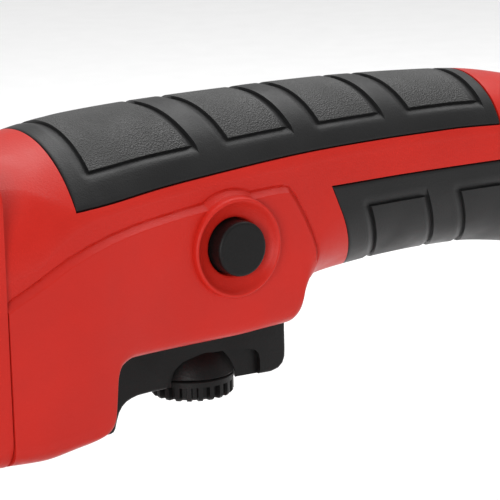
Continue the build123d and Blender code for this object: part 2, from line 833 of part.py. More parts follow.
with BuildPart() as handle_shell_right:
    add(handle_body.part)
    split(bisect_by=Plane.XZ, keep=Keep.BOTTOM)
    for place in screw_places:
        with BuildSketch(side(45, seam_x)):
            with Locations(place):
                Circle(3.8)
        extrude(amount=45 - 12, mode=Mode.SUBTRACT)
save(handle_shell_right, "handle_shell_right")

with BuildPart() as top_grip_pad:
    add(skin_layer & top_pad_region)
save(top_grip_pad, "top_grip_pad")

with BuildPart() as lower_grip_pad:
    add(skin_layer & lower_pad_region)
save(lower_grip_pad, "lower_grip_pad")

with BuildPart() as handle_screws:
    for place in screw_places:
        with BuildSketch(side(12, seam_x)):
            with Locations(place):
                Circle(1.7)
        extrude(amount=22)
        with BuildSketch(side(14.2, seam_x)):
            with Locations(place):
                Circle(3.5)
        extrude(amount=2.2)
        with BuildSketch(side(14.2, seam_x)):
            with Locations(place):
                RegularPolygon(radius=1.6, side_count=6)
        extrude(amount=1.4, mode=Mode.SUBTRACT)
save(handle_screws, "handle_screws")

# ---- trigger --------------------------------------------------------------------------------
with BuildPart() as trigger:
    with BuildSketch(side(trigger_thickness / 2, seam_x)):
        with BuildLine():
            Polyline(
                (trigger_front, trigger_top),
                (trigger_front, tail_tip + 1.5),
                (trigger_front + 1.5, tail_tip),
                (36.0, tail_tip),
                (38.2, -32.6),
                (40.6, -28.4),
                (45.0, trigger_bottom),
                (trigger_rear - 3.5, trigger_bottom),
                (trigger_rear, trigger_bottom + 3.5),
                (trigger_rear, trigger_top - 4),
                (trigger_rear - 6, trigger_top),
                close=True,
            )
        make_face()
    extrude(amount=trigger_thickness)
    # hood over the speed dial
    with BuildSketch(level(dial_top + 0.4, seam_x + dial_x)):
        Circle(dial_radius + 0.4)
    with BuildSketch(level(dial_top + 5.2, seam_x + dial_x)):
        Circle(trigger_thickness / 2 - 0.2)
    loft()
    # well for the dial
    with BuildSketch(level(dial_bottom - 1, seam_x + dial_x)):
        Circle(dial_radius + moving_gap)
    extrude(amount=dial_top + 0.4 - dial_bottom + 1, mode=Mode.SUBTRACT)
    with BuildSketch(level(dial_bottom, seam_x + dial_x)):
        Circle(dial_shaft + running_fit)
    extrude(amount=14, mode=Mode.SUBTRACT)
    # plunger that works the switch
    with BuildSketch(level(trigger_top - 1, seam_x + 50)):
        Circle(3.5)
    extrude(amount=21)
save(trigger, "trigger")

with BuildPart() as speed_dial:
    with BuildSketch(level(dial_bottom, seam_x + dial_x)):
        Circle(dial_radius)
        with PolarLocations(dial_radius, dial_teeth):
            Circle(0.5, mode=Mode.SUBTRACT)
    extrude(amount=dial_top - dial_bottom)
    with BuildSketch(level(dial_top, seam_x + dial_x)):
        Circle(dial_shaft)
    extrude(amount=7)
    with BuildSketch(level(dial_bottom, seam_x + dial_x)):
        Circle(dial_radius - 3)
    extrude(amount=0.8, mode=Mode.SUBTRACT)
save(speed_dial, "speed_dial")

# ---- switch and electrics inside the handle ---------------------------------------------------
with BuildPart() as switch_module:
    block((37, -8.5, 1.0), (78, 8.5, 23), seam_x)
    with BuildSketch(level(0, seam_x + 50)):
        Circle(6.8)
    extrude(amount=7, mode=Mode.SUBTRACT)
    with BuildSketch(level(0, seam_x + 50)):
        Circle(3.5 + running_fit)
    extrude(amount=21.5, mode=Mode.SUBTRACT)
save(switch_module, "switch_module")

coil_spring("trigger_spring", level(trigger_top + 0.6, seam_x + 50), 5.2, 1.0, 11.6, 4)

with BuildPart() as lock_button:
    with BuildSketch(side(-button_inner, seam_x + button_x)):
        with Locations((0, button_z)):
            Circle(button_radius)
    extrude(amount=button_face - button_inner)
    fillet(lock_button.faces().sort_by(Axis.Y)[0].edges(), radius=0.7)
    with BuildSketch(side(-button_inner, seam_x + button_x)):
        with Locations((0, button_z)):
            Circle(button_radius + button_flange)
    extrude(amount=button_flange_depth)
    with BuildSketch(side(-button_inner, seam_x + button_x)):
        with Locations((0, button_z)):
            Circle(button_radius - 1.2)
    extrude(amount=5, mode=Mode.SUBTRACT)
save(lock_button, "lock_button")

button_axis = Plane(origin=(seam_x + button_x, -9.2, axis_z + button_z), z_dir=(0, -1, 0))
coil_spring("lock_button_spring", button_axis, 4.0, 0.8, 10.5, 4)

with BuildPart() as speed_control_board:
    block((98, -9, 6), (122, 9, 7.6), seam_x)
    block((102, -7, 7.6), (114, 7, 15), seam_x)
save(speed_control_board, "speed_control_board")

with BuildPart() as noise_capacitor:
    block((8, -8, -12), (24, 8, 2), seam_x)
save(noise_capacitor, "noise_capacitor")

with BuildPart() as terminal_block:
    block((140, -8, 4), (156, 8, 13), seam_x)
    with Locations(Location((seam_x + 148, 0, axis_z + 13))):
        with GridLocations(0, 8, 1, 2):
            Cylinder(2.2, 4, mode=Mode.SUBTRACT)
save(terminal_block, "terminal_block")

# ---- cord inlet -----------------------------------------------------------------------------
cord_bore = 4.1
with BuildPart() as cord_gland:
    with BuildSketch(station_plane(len(stations) - 1, 7)):
        Circle(7.0)
    extrude(amount=7)
    with BuildSketch(station_plane(len(stations) - 1)):
        Circle(9.5)
    extrude(amount=5)
    with BuildSketch(station_plane(len(stations) - 1, 8)):
        Circle(cord_bore)
    extrude(amount=16, mode=Mode.SUBTRACT)
    fillet(cord_gland.edges().group_by(Axis.X)[-1], radius=0.8)
save(cord_gland, "cord_gland")

# ---- auxiliary handle -----------------------------------------------------------------------
grip_start = side_socket_face + 5
with BuildPart() as aux_handle_stud:
    with BuildSketch(side(-side_socket_face + socket_depth - 1, side_socket_x)):
        Circle(socket_radius - running_fit)
    extrude(amount=socket_depth - 1 + 25)
    with BuildSketch(side(-side_socket_face, side_socket_x)):
        RegularPolygon(radius=7.5, side_count=6)
    extrude(amount=5)
save(aux_handle_stud, "aux_handle_stud")

with BuildPart() as aux_handle_grip:
    with BuildSketch(Plane(origin=(side_socket_x, -grip_start, axis_z), x_dir=(1, 0, 0), z_dir=(0, 0, 1))):
        with BuildLine():
            Polyline((0, 0), (21, 0), (21, -4), (16.2, -9))
            Spline(
                (16.2, -9),
                (14.2, -25),
                (16.4, -52),
                (14.6, -78),
                (17.4, -handle_length + 8),
            )
            Line((17.4, -handle_length + 8), (14, -handle_length))
            Line((14, -handle_length), (0, -handle_length))
            Line((0, -handle_length), (0, 0))
        make_face()
    revolve(axis=Axis((side_socket_x, -grip_start, axis_z), (0, 1, 0)))
    with BuildSketch(side(-grip_start, side_socket_x)):
        Circle(socket_radius)
    extrude(amount=22, mode=Mode.SUBTRACT)
save(aux_handle_grip, "aux_handle_grip")
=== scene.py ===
"""Looks of the twin-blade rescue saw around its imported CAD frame.

The handle shells, pads, trigger and dial are rebuilt here; every other node gets a procedural finish.

Handle geometry is written in millimetres from the joint between motor housing and handle (x), the
motor axis (z) and the mid-plane (w, positive towards the blades' far side), then moved to the row frame.
"""
import json
from math import cos, pi, radians, sin, tau

import bmesh
import bpy
import numpy as np
from mathutils import Matrix, Vector


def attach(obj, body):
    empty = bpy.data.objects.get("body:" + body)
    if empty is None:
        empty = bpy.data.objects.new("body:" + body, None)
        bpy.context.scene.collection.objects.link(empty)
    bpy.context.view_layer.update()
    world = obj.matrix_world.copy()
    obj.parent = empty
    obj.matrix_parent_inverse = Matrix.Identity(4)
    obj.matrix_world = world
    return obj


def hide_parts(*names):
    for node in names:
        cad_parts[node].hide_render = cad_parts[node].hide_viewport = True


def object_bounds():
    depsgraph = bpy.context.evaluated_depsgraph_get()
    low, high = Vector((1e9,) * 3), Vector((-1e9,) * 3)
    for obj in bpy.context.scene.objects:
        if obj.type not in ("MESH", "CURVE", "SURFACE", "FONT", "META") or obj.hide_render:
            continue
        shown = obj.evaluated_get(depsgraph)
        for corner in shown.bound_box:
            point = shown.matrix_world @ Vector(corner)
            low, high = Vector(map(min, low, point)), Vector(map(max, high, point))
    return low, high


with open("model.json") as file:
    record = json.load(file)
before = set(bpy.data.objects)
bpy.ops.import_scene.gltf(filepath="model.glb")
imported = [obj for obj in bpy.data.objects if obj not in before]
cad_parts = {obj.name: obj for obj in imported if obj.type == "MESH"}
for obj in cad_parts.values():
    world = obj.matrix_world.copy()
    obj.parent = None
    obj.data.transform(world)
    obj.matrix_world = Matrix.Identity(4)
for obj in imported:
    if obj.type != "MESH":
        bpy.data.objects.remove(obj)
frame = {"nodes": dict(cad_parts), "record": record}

cad_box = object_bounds()
SEAM_X = 153.0
AXIS_Z = 32.0


# ---- helpers ----------------------------------------------------------------------------------
def curve(xs, ys):
    """Smooth, overshoot-free curve through given points (monotone cubic)."""
    xs, ys = np.array(xs, float), np.array(ys, float)
    h, d = np.diff(xs), np.diff(ys) / np.diff(xs)
    m = np.zeros(len(xs))
    m[0], m[-1] = d[0], d[-1]
    for i in range(1, len(xs) - 1):
        if d[i - 1] * d[i] > 0:
            a, b = 2 * h[i] + h[i - 1], h[i] + 2 * h[i - 1]
            m[i] = (a + b) / (a / d[i - 1] + b / d[i])

    def value(x):
        x = np.clip(x, xs[0], xs[-1])
        i = np.clip(np.searchsorted(xs, x) - 1, 0, len(xs) - 2)
        t = (x - xs[i]) / h[i]
        return (ys[i] * (1 + 2 * t) * (1 - t) ** 2 + h[i] * m[i] * t * (1 - t) ** 2
                + ys[i + 1] * t * t * (3 - 2 * t) + h[i] * m[i + 1] * t * t * (t - 1))
    return value


def smooth(t):
    """Ease from 0 to 1 as t goes from 0 to 1."""
    t = np.clip(t, 0, 1)
    return t * t * (3 - 2 * t)


def to_row(points):
    """Handle millimetres (x, w, z) to row-frame metres; w runs towards -Y."""
    p = np.asarray(points, float)
    return np.stack([(p[..., 0] + SEAM_X), -p[..., 1], (p[..., 2] + AXIS_Z)], -1) / 1000


def make(name, verts, faces, material, smooth_faces=True, angle=35, finish=None):
    """Mesh object from row-frame metres; finish marks each face as material (0) or stippled (1)."""
    mesh = bpy.data.meshes.new(name)
    mesh.from_pydata([tuple(v) for v in verts], [], [tuple(f) for f in faces])
    if finish is not None:
        mesh.materials.append(material)
        mesh.materials.append(STIPPLE)
        mesh.polygons.foreach_set("material_index", finish)
    obj = bpy.data.objects.new(name, mesh)
    bpy.context.scene.collection.objects.link(obj)
    tidy_mesh(obj)
    if smooth_faces:
        mesh.shade_smooth()
        mesh.set_sharp_from_angle(angle=radians(angle))
    if finish is None:
        mesh.materials.append(material)
    return obj


def tidy_mesh(obj, merge=1e-6):
    """Merge doubled corners and point every face outwards."""
    bm = bmesh.new()
    bm.from_mesh(obj.data)
    bmesh.ops.remove_doubles(bm, verts=bm.verts, dist=merge)
    bmesh.ops.recalc_face_normals(bm, faces=bm.faces)
    bm.to_mesh(obj.data)
    bm.free()


def cut(obj, tool, operation="DIFFERENCE", keep=False):
    """Boolean with another mesh, applied."""
    mod = obj.modifiers.new("b", "BOOLEAN")
    mod.object, mod.operation, mod.solver = tool, operation, "MANIFOLD"
    dg = bpy.context.evaluated_depsgraph_get()
    done = bpy.data.meshes.new_from_object(obj.evaluated_get(dg))
    obj.modifiers.clear()
    old, obj.data = obj.data, done
    bpy.data.meshes.remove(old)
    if not keep:
        bpy.data.objects.remove(tool)


def grid_faces(n, m, base=0, flip=False):
    """Quads of an n by m grid of points stored row by row."""
    out = []
    for i in range(n - 1):
        for j in range(m - 1):
            a = base + i * m + j
            q = (a, a + 1, a + m + 1, a + m)
            out.append(q[::-1] if flip else q)
    return out


def thick_sheet(outer, inner):
    """Closed solid between two equal grids of points."""
    n, m, _ = outer.shape
    verts = np.concatenate([outer.reshape(-1, 3), inner.reshape(-1, 3)])
    faces = grid_faces(n, m) + grid_faces(n, m, n * m, True)
    rim = [i * m for i in range(n)] + [(n - 1) * m + j for j in range(1, m)]
    rim += [i * m + m - 1 for i in range(n - 2, -1, -1)] + list(range(m - 2, 0, -1))
    for a, b in zip(rim, rim[1:] + rim[:1]):
        faces.append((a, b, b + n * m, a + n * m))
    return verts, faces


def lathe(name, profile, centre, axis, material, steps=96, closed=True, angle=30):
    """Solid of revolution; profile is (radius, distance along axis), millimetres in the row frame."""
    axis = Vector(axis).normalized()
    side = axis.orthogonal().normalized()
    other = axis.cross(side)
    verts, faces = [], []
    n = len(profile)
    for k in range(steps):
        a = tau * k / steps
        d = side * cos(a) + other * sin(a)
        for r, h in profile:
            verts.append((Vector(centre) + d * r + axis * h) / 1000)
    for k in range(steps):
        for i in range(n if closed else n - 1):
            a, b = k * n + i, k * n + (i + 1) % n
            c, d = (k + 1) % steps * n + (i + 1) % n, (k + 1) % steps * n + i
            faces.append((a, b, c, d))
    return make(name, verts, faces, material, angle=angle)


# ---- the handle's surface ---------------------------------------------------------------------
# Columns along the handle: bottom x, bottom z, top x, top z, half width, height of the widest level
# above the bottom, fullness of the lower quarter, height of the shoulder line.
COLUMNS = [
    (0, -31.6, 0, 32.2, 27.6, 6, 4.0, 20.0),
    (9, -32.0, 9, 34.0, 27.2, 6, 4.2, 20.0),
    (17, -30.9, 17, 35.3, 26.8, 6, 4.2, 20.0),
    (21.0, -30.2, 22, 36.3, 26.3, 6, 4.2, 20.1),
    (23.6, -29.3, 24.2, 36.7, 26.0, 6, 4.2, 20.3),
    (25.2, -27.6, 25.8, 36.95, 25.7, 5.5, 4.0, 20.4),
    (25.7, -23.5, 26.8, 37.1, 25.5, 5, 4.0, 20.5),
    (26.2, -18.8, 28.2, 37.25, 25.25, 5, 3.6, 20.6),
    (27.7, -15.5, 30.4, 37.55, 24.85, 5, 3.4, 20.9),
    (32.0, -13.8, 34.2, 37.9, 24.1, 5, 3.4, 21.2),
    (48, -14.0, 48, 38.65, 22.1, 5, 3.4, 22.3),
    (60, -14.1, 60, 38.95, 21.0, 5, 3.4, 23.1),
    (70, -14.1, 70, 39.1, 20.2, 6, 3.2, 23.6),
    (75.6, -14.1, 75.6, 39.15, 19.85, 6.5, 3.0, 23.8),
    (77.9, -13.1, 77.4, 39.2, 19.7, 7.5, 2.9, 23.95),
    (79.3, -10.4, 79.3, 39.25, 19.6, 9.5, 2.7, 24.1),
    (81.8, -7.6, 81.6, 39.27, 19.4, 11.5, 2.5, 24.2),
    (87, -6.5, 87, 39.3, 19.1, 15, 2.2, 24.5),
    (98, -5.5, 98, 39.25, 18.7, 18, 2.05, 24.8),
    (111, -4.7, 111.5, 38.9, 18.3, 18.5, 2.0, 25.0),
    (122, -4.4, 124, 38.35, 18.1, 18.5, 2.0, 25.0),
    (134, -4.6, 138, 37.4, 18.0, 18.5, 2.0, 24.6),
    (146, -6.0, 153.5, 34.7, 18.0, 18.5, 2.0, 22.6),
    (161.2, -9.5, 178.8, 26.5, 17.5, 18.0, 2.1, 15.5),
    (173.8, -16.05, 198.2, 13.05, 17.0, 17.0, 2.2, 3.5),
]
AHEAD_COLUMNS = 19  # columns from the motor housing to the start of the grip
column_table = np.array(COLUMNS, float)
# u, the parameter along the handle, is the run along the bottom line
steps = np.hypot(np.diff(column_table[:, 0]), np.diff(column_table[:, 1]))
run = np.concatenate([[0], np.cumsum(steps)])
COLUMN = [curve(run, values) for values in column_table.T]
U_END = run[-1]
WIDTH = curve(column_table[:AHEAD_COLUMNS, 2], column_table[:AHEAD_COLUMNS, 4])  # half width against x
GRIP_START, GRIP_BLEND = 88, 20  # where the width stops following x and follows the column
SIDE_LEAN = 0.35  # how far the side leans in towards the shoulder

BOTTOM_ROWS, LIP_ROWS, DOME_ROWS = 20, 10, 40
LOWER_ROWS, STEP_ROWS, RING_ROWS, UPPER_ROWS = 59, 30, 9, 15  # rows of the side, from below
STEP_BELOW, STEP_SPAN, RING_SPAN = 0.6, 3.3, 5.2  # heights packed with rows round the panel's step
ROOM_BELOW, ROOM_ABOVE = 1.0, 7.0  # least height left to the lower and upper rows
LIP = curve([0, 8, 14, 19, 24, 400], [11, 9, 5, 2.2, 1.0, 1.0])  # rounding of the shoulder line


# height of the panel's step along the handle
STEP_LINE = curve([-1, 3, 6, 11, 16, 21, 26, 35, 45, 54, 64, 76, 90, 110, 400],
                  [2, 4.5, 5.9, 8.2, 10.7, 12.5, 13.8, 15.3, 16.3, 17.0, 17.7, 17.6, 14, 10, 8])


def side_rows(step, low, high):
    """Row places on the side as shares from low to high, packed closely round the panel's step."""
    a = float(np.clip(step - STEP_BELOW, low + ROOM_BELOW, high - ROOM_ABOVE))
    edges = [low, a, a + STEP_SPAN, a + RING_SPAN, high]
    counts = [LOWER_ROWS, STEP_ROWS, RING_ROWS, UPPER_ROWS]
    rows = [np.linspace(x0, x1, n + 1)[:-1] for x0, x1, n in zip(edges, edges[1:], counts)]
    return (np.concatenate(rows) - low) / (high - low)


def section(u):
    """Points (x, w, z) of the column at u, from the bottom centre line to the top centre line."""
    xb, zb, xt, zt, half, rise, full, lip_z = [value(u) for value in COLUMN]
    height = np.hypot(xt - xb, zt - zb)
    lip = (lip_z - zb) / (zt - zb) * height
    soft = float(LIP(xt))
    pts = []
    for k in range(BOTTOM_ROWS):  # lower quarter
        a = pi / 2 * k / BOTTOM_ROWS
        pts.append((half * sin(a) ** (2 / full), rise * (1 - cos(a) ** (2 / full))))
    lip_w = half - SIDE_LEAN
    step = (float(STEP_LINE(xt)) - zb) / (zt - zb) * height
    for t in side_rows(step, rise, lip - soft):  # side, leaning in a little towards the shoulder
        pts.append((half - SIDE_LEAN * t * t, rise + (lip - soft - rise) * t))
    drop = height - lip
    radius = (lip_w ** 2 + drop ** 2) / (2 * drop)
    start = np.arcsin(min(lip_w / radius, 1.0))
    if drop > lip_w:
        start = pi - start
    bend = start - soft / radius
    below = np.array([lip_w + 0.02, lip - soft])
    corner = np.array([lip_w, lip])
    above = np.array([radius * sin(bend), height - radius * (1 - cos(bend))])
    for k in range(LIP_ROWS):  # rounded shoulder
        t = k / LIP_ROWS
        pts.append(tuple(below * (1 - t) ** 2 + corner * 2 * t * (1 - t) + above * t * t))
    for k in range(DOME_ROWS + 1):  # domed top
        a = bend * (1 - k / DOME_ROWS)
        pts.append((radius * sin(a), height - radius * (1 - cos(a))))
    pts = np.array(pts)
    pts[0, 0] = pts[-1, 0] = 0
    bottom, top = np.array([xb, zb]), np.array([xt, zt])
    line = bottom + (top - bottom) * (pts[:, 1:] / height)
    ahead = 1 - smooth((line[:, 0] - GRIP_START) / GRIP_BLEND)
    pts[:, 0] *= 1 + ahead * (WIDTH(line[:, 0]) / half - 1)
    return np.stack([line[:, 0], pts[:, 0], line[:, 1]], -1)


START = 0.25  # open joint in front of the shells


def spaced(parts):
    """Values of u with a chosen spacing in each stretch: (end, step)."""
    out, u = [START], START
    for end, step in parts:
        n = max(1, round((end - u) / step))
        out += [u + (end - u) * (i + 1) / n for i in range(n)]
        u = end
    return np.array(out)


def normals(grid):
    """Unit normals of a grid of points."""
    n = np.cross(np.gradient(grid, axis=0), np.gradient(grid, axis=1))
    return n / np.maximum(np.linalg.norm(n, axis=-1, keepdims=True), 1e-9)


# Outline of the raised side panel's step, (x, z), from its front tip back and down.
PANEL = [(-6, 0.6), (0, 3.0), (3, 4.5), (6.3, 5.9), (11, 8.2), (16, 10.7), (21, 12.5), (26, 13.8), (31, 14.7),
         (35.5, 15.3), (45.5, 16.3), (53.7, 17.0), (64.1, 17.6), (71.5, 17.9), (74.8, 17.7), (76.6, 15.2),
         (78.4, 12.0), (80.6, 7.5), (81.8, 4.2), (82.3, 1.5), (82.3, -2.0), (81.6, -6.0), (80.6, -9.5),
         (78.0, -14.0), (60, -20), (20, -45), (-10, -45)]
PANEL_RISE = 1.3
PANEL_BEVEL = 1.45
VALLEY = 0.42  # how far the foot of the step dips under the body
VALLEY_WIDTH = 0.35
CREST_ROUND = 0.07  # rounding of the step's edges, as a share of its width
TURN_UNDER, TURN_SPAN = 0.35, 0.55  # shares of the half width over which the step grows in
FOOT_Z, FOOT_SPAN = -30.5, 4  # the panel fades out at the bottom of the body
SHOULDER_Z = 22.5
BUTTON = (59.0, 8.0)
RING_R = 11.0


def panel_distance(x, z):
    """Signed distance to the panel's outline, positive outside."""
    poly = np.array(PANEL)
    best = np.full(x.shape, 1e9)
    inside = np.zeros(x.shape, bool)
    for (x0, z0), (x1, z1) in zip(poly, np.roll(poly, -1, 0)):
        dx, dz = x1 - x0, z1 - z0
        t = np.clip(((x - x0) * dx + (z - z0) * dz) / (dx * dx + dz * dz), 0, 1)
        best = np.minimum(best, np.hypot(x - x0 - t * dx, z - z0 - t * dz))
        hit = ((z0 > z) != (z1 > z)) & (x < x0 + (z - z0) * dx / (dz if dz else 1e-9))
        inside ^= hit
    d = np.where(inside, -best, best)
    ring = np.hypot(x - BUTTON[0], z - BUTTON[1]) - RING_R
    # union with a disc around the collar, so the step bulges above it
    return np.minimum(d, ring)


def bevel(t):
    """Slope from 1 at t=0 to 0 at t=1 with a small rounding at each end."""
    r = CREST_ROUND
    t = np.clip(t, -r, 1 + r)
    out = 1 - t
    out = np.where(t < r, 1 - (t + r) ** 2 / (4 * r), out)
    return np.where(t > 1 - r, (1 + r - t) ** 2 / (4 * r), out)


def surface(us):
    """Outer surface of a half shell with its raised panel, as a grid of points."""
    grid = np.array([section(u) for u in us])
    x, z = grid[..., 0], grid[..., 2]
    d = panel_distance(x, z)
    lift = PANEL_RISE * bevel(d / PANEL_BEVEL)
    dip = np.minimum(d / PANEL_BEVEL, (PANEL_BEVEL + VALLEY_WIDTH - d) / VALLEY_WIDTH)
    lift -= VALLEY * np.clip(dip, 0, 1)
    # the step fades out where the side turns under, and never reaches the shoulder
    side = smooth((grid[..., 1] / WIDTH(x) - TURN_UNDER) / TURN_SPAN)
    low = smooth((z - FOOT_Z) / FOOT_SPAN)
    grid[..., 1] += lift * side * low * (z < SHOULDER_Z)
    return grid


# ---- materials --------------------------------------------------------------------------------
def material(name, colour, rough, metal=0.0, coat=0.0, spec=0.5, vary=0.06, grain=2600, bump=0.15,
             rough_vary=0.08, kind="noise", stretch=(1, 1, 1), wear=0.0):
    """Procedural finish: colour drift, roughness drift and a fine surface bump."""
    mat = bpy.data.materials.new(name)
    mat.use_nodes = True
    nt = mat.node_tree
    b = nt.nodes["Principled BSDF"]
    b.inputs["Metallic"].default_value = metal
    b.inputs["Coat Weight"].default_value = coat
    b.inputs["Specular IOR Level"].default_value = spec
    new, link = nt.nodes.new, nt.links.new
    place = new("ShaderNodeTexCoord")
    mapping = new("ShaderNodeMapping")
    mapping.inputs["Scale"].default_value = stretch
    link(place.outputs["Object"], mapping.inputs["Vector"])

    def noise(scale, detail=4.0, source=None):
        n = new("ShaderNodeTexNoise")
        n.inputs["Scale"].default_value = scale
        n.inputs["Detail"].default_value = detail
        link(source or place.outputs["Object"], n.inputs["Vector"])
        return n.outputs["Fac"]

    def spread(fac, low, high, lo_in=0.35, hi_in=0.65):
        m = new("ShaderNodeMapRange")
        m.inputs["From Min"].default_value, m.inputs["From Max"].default_value = lo_in, hi_in
        m.inputs["To Min"].default_value, m.inputs["To Max"].default_value = low, high
        link(fac, m.inputs["Value"])
        return m.outputs["Result"]

    ramp = new("ShaderNodeValToRGB")
    dark = [c * (1 - vary) for c in colour]
    light = [min(1, c * (1 + vary)) for c in colour]
    ramp.color_ramp.elements[0].color = (*dark, 1)
    ramp.color_ramp.elements[1].color = (*light, 1)
    ramp.color_ramp.elements[0].position, ramp.color_ramp.elements[1].position = 0.35, 0.65
    link(noise(45, 5), ramp.inputs["Fac"])
    colour_out = ramp.outputs["Color"]
    if wear:
        geo = new("ShaderNodeNewGeometry")
        edge = spread(geo.outputs["Pointiness"], 0, wear, 0.52, 0.6)
        mix = new("ShaderNodeMix")
        mix.data_type = "RGBA"
        link(edge, mix.inputs["Factor"])
        link(colour_out, mix.inputs["A"])
        mix.inputs["B"].default_value = (*[min(1, c * 1.6 + 0.08) for c in colour], 1)
        colour_out = mix.outputs["Result"]
    link(colour_out, b.inputs["Base Color"])
    link(spread(noise(90, 3), rough - rough_vary, rough + rough_vary), b.inputs["Roughness"])
    if kind == "noise":
        height = noise(grain, 2, mapping.outputs["Vector"])
    else:
        v = new("ShaderNodeTexVoronoi")
        v.inputs["Scale"].default_value = grain
        link(mapping.outputs["Vector"], v.inputs["Vector"])
        height = v.outputs["Distance"]
    bn = new("ShaderNodeBump")
    bn.inputs["Strength"].default_value = bump
    bn.inputs["Distance"].default_value = 0.0003
    link(height, bn.inputs["Height"])
    link(bn.outputs["Normal"], b.inputs["Normal"])
    return mat


RED = material("red_nylon", (0.5, 0.016, 0.009), 0.42, vary=0.05, grain=2200, bump=0.16, spec=0.2)
RUBBER = material("rubber_smooth", (0.011, 0.011, 0.0112), 0.44, vary=0.08, grain=2600, bump=0.2, spec=0.24)
STIPPLE = material("rubber_stippled", (0.025, 0.025, 0.0245), 0.52, vary=0.1, grain=2600, bump=0.6,
                   kind="voronoi", spec=0.4)
BLACK = material("black_moulding", (0.006, 0.0057, 0.0057), 0.42, vary=0.1, grain=1900, bump=0.2, spec=0.18)
CAST = material("cast_alloy", (0.46, 0.47, 0.48), 0.5, metal=0.85, vary=0.08, grain=1100, bump=0.4, wear=0.3)
STEEL = material("plated_steel", (0.56, 0.56, 0.57), 0.3, metal=1, vary=0.07, grain=900, bump=0.1)
GEAR = material("gear_steel", (0.27, 0.27, 0.29), 0.34, metal=1, vary=0.1, grain=1500, bump=0.15, wear=0.3)
BLADE = material("ground_blade_steel", (0.4, 0.4, 0.41), 0.33, metal=1, vary=0.06, grain=260, bump=0.22,
                 stretch=(1, 8, 8), wear=0.2)
GUARD = material("powder_coat", (0.03, 0.03, 0.032), 0.48, vary=0.1, grain=1500, bump=0.5, wear=0.25)
LAMINATION = material("lamination_stack", (0.2, 0.2, 0.21), 0.5, metal=0.8, vary=0.1, grain=900, bump=0.6,
                      stretch=(6, 0.2, 0.2))
COPPER = material("enamelled_copper", (0.66, 0.26, 0.1), 0.32, metal=0.9, vary=0.12, grain=600, bump=0.5,
                  stretch=(1, 5, 5))
CARBON = material("graphite", (0.035, 0.035, 0.036), 0.55, metal=0.3, vary=0.15, grain=1500, bump=0.3)
BOARD = material("circuit_board", (0.02, 0.13, 0.055), 0.35, vary=0.12, grain=700, bump=0.15)
FINISH = {"red_housing": RED, "grip_rubber": RUBBER, "black_plastic": BLACK, "cast_alloy": CAST,
          "steel": STEEL, "gear_steel": GEAR, "blade_steel": BLADE, "guard_paint": GUARD,
          "lamination": LAMINATION, "copper": COPPER, "carbon": CARBON, "circuit_board": BOARD}
for part in frame["record"]["subparts"]:
    node = frame["nodes"][part["node"]]
    for place in node.material_slots:
        place.material = FINISH[part["material_slot"]]

# ---- shells -----------------------------------------------------------------------------------
WALL = 3.7
INLET_R = 7.05
END_WALL = 3.8  # run of the end wall round the cord inlet
RIM_ROUND = 0.8
# spacing of the shell's columns: (end, step)
SHELL_COLUMNS = [(60, 0.42), (88, 0.28), (110, 0.2), (125, 0.6), (U_END - RIM_ROUND, 1.4), (U_END, 0.2)]


def half_shell():
    """Closed left half of the handle with its raised side panel, in handle millimetres."""
    us = spaced(SHELL_COLUMNS)
    outer = surface(us)
    plain = np.array([section(u) for u in us])
    out = normals(plain) * inward(plain)
    inner = plain - out * WALL
    inner[:, 0, 1] = inner[:, -1, 1] = 0
    inner[0, :, 0] = START
    # rounded rim at the grip's end, and the end wall round the cord inlet
    turn = np.linspace(pi, 0, plain.shape[1])[:, None]
    for i, left_over in enumerate(U_END - us):
        t = min(left_over / RIM_ROUND, 1)
        outer[i] -= out[i] * RIM_ROUND * (1 - np.sqrt(1 - (1 - t) ** 2))
        if left_over < END_WALL:
            mid = (plain[i, -1] + plain[i, 0]) / 2
            up = plain[i, -1] - plain[i, 0]
            up /= np.linalg.norm(up)
            inner[i] = mid + INLET_R * (np.cos(turn) * up + np.sin(turn) * np.array([0, 1, 0]))
    outer[:, 0, 1] = outer[:, -1, 1] = 0
    return thick_sheet(outer, inner)


def inward(grid):
    """Sign that makes the grid normals point out of the body."""
    n = normals(grid)
    i, j = grid.shape[0] // 2, grid.shape[1] // 5
    return np.sign(n[i, j, 1] * grid[i, j, 1])


def offset(grid, distance):
    """Grid moved outwards along its normals."""
    return grid + normals(grid) * inward(grid) * distance


# ---- pads -------------------------------------------------------------------------------------
DENSE = np.array([section(u) for u in np.linspace(0.5, U_END - 0.5, 500)])
STEP = 0.1  # run of the upright wall between a groove and its panel
DEPTH = 0.7
GROOVE_LEFT, GROOVE_RIGHT, GROOVE_LOW = 2.5, 2.3, 2.0  # reach of the groove on each side of a panel
PAD_THICKNESS = 1.7
EDGE_ROUND = 0.55
EDGE_STOPS = (0.08, 0.2, 0.35, 0.55)  # stops that draw the rounded border
POCKET_GAP, POCKET_DEPTH, POCKET_HEADROOM = 0.25, 1.85, 2.5  # shell pocket against its pad

TOP_EDGE = curve([0, 22, 28, 41, 53, 66, 80, 93, 108, 122, 137, 160, 210],
                 [20.5, 21.7, 22.1, 23.3, 24.2, 25.1, 25.9, 26.3, 26.5, 26.5, 26.0, 23.5, 18])
PANEL_LOW = curve([20, 24, 50, 61, 76, 87, 102, 132, 140], [8.3, 8.3, 7.5, 7.1, 6.8, 6.4, 6.4, 6.5, 6.5])
TOP_LEAN = curve([15, 24.8, 53, 61.7, 79, 87.1, 105, 113, 134.7, 140],
                 [0, -0.3, -5, -4.2, -3.7, -3.2, -3.8, -3.4, -1.0, -0.5])
TOP_PANELS = [(24.8, 53.0), (61.7, 79.1), (87.0, 105.0), (113.0, 134.7)]
TOP_FRONT, TOP_REAR = 18.6, 138.2
TOP_SAMPLE_X, TOP_TOTAL = 60, 27.0  # the column whose row distances stand for the whole top pad

